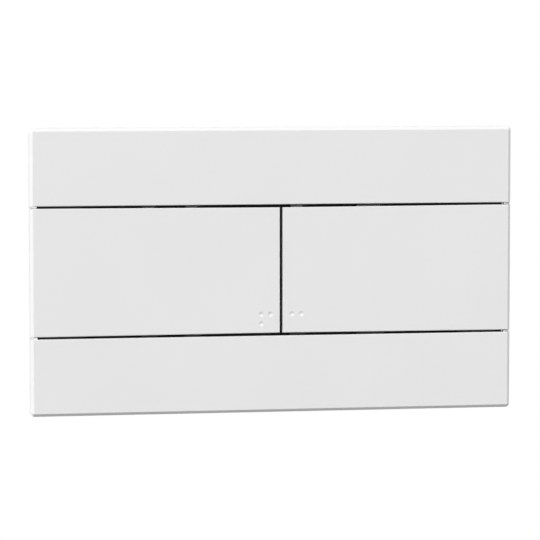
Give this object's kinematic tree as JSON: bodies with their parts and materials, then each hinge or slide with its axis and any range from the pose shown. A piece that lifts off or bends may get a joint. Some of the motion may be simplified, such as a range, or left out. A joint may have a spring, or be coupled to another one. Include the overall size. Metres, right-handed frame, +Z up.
{
  "type": "flush button plate",
  "caption": "Slim rectangular dual-flush plate for a concealed cistern, with a wide and a narrow hinged button between plain bands, push rods and a mounting frame behind.",
  "frame": {"origin": "centre of the plate, on the wall face", "axes": "+X to the right seen from the front, +Y into the wall, +Z up"},
  "size_m": [0.25, 0.078, 0.1466],
  "materials": {
    "white_plastic": "satin gloss",
    "black_plastic": "fine moulded matt",
    "rod_plastic": "smooth natural",
    "guide_plastic": "moulded matt",
    "grip_plastic": "moulded matt",
    "pin_steel": "drawn",
    "spring_steel": "drawn",
    "zinc_steel": "zinc plated",
    "buffer_rubber": "matt"
  },
  "bodies": {
    "plate": {"cover_frame": "white_plastic", "mounting_frame": "black_plastic", "fixing_bolts": "zinc_steel", "thumb_nuts": "grip_plastic", "washers": "zinc_steel", "full_flush_hinge_pin": "pin_steel", "full_flush_rod_guide": "guide_plastic", "full_flush_return_spring": "spring_steel", "full_flush_buffers": "buffer_rubber", "half_flush_hinge_pin": "pin_steel", "half_flush_rod_guide": "guide_plastic", "half_flush_return_spring": "spring_steel", "half_flush_buffers": "buffer_rubber"},
    "full_button": {"full_flush_button": "white_plastic"},
    "full_rod": {"full_flush_push_rod": "rod_plastic", "full_flush_rod_head": "guide_plastic", "full_flush_stop_nut": "guide_plastic"},
    "half_button": {"half_flush_button": "white_plastic"},
    "half_rod": {"half_flush_push_rod": "rod_plastic", "half_flush_rod_head": "guide_plastic", "half_flush_stop_nut": "guide_plastic"}
  },
  "joints": [
    {"name": "full_flush_press", "type": "hinge", "parent": "plate", "child": "full_button", "pos_m": [-0.117, -0.0028, 0], "axis": [0, 0, 1], "range_deg": [0, 4], "stiffness_Nm_per_rad": 6.7, "springref_deg": -2.86},
    {"name": "full_flush_rod_slide", "type": "slide", "parent": "plate", "child": "full_rod", "axis": [0, 1, 0], "range_m": [0, 0.00575], "deforming": ["full_flush_return_spring"]},
    {"name": "half_flush_press", "type": "hinge", "parent": "plate", "child": "half_button", "pos_m": [0.117, -0.0028, 0], "axis": [0, 0, -1], "range_deg": [0, 4], "stiffness_Nm_per_rad": 6.7, "springref_deg": -2.86},
    {"name": "half_flush_rod_slide", "type": "slide", "parent": "plate", "child": "half_rod", "axis": [0, 1, 0], "range_m": [0, 0.00575], "deforming": ["half_flush_return_spring"]}
  ],
  "couplings": [
    {"joint": "full_flush_rod_slide", "follows": "full_flush_press", "m_per_rad": 0.082},
    {"joint": "half_flush_rod_slide", "follows": "half_flush_press", "m_per_rad": 0.082}
  ]
}
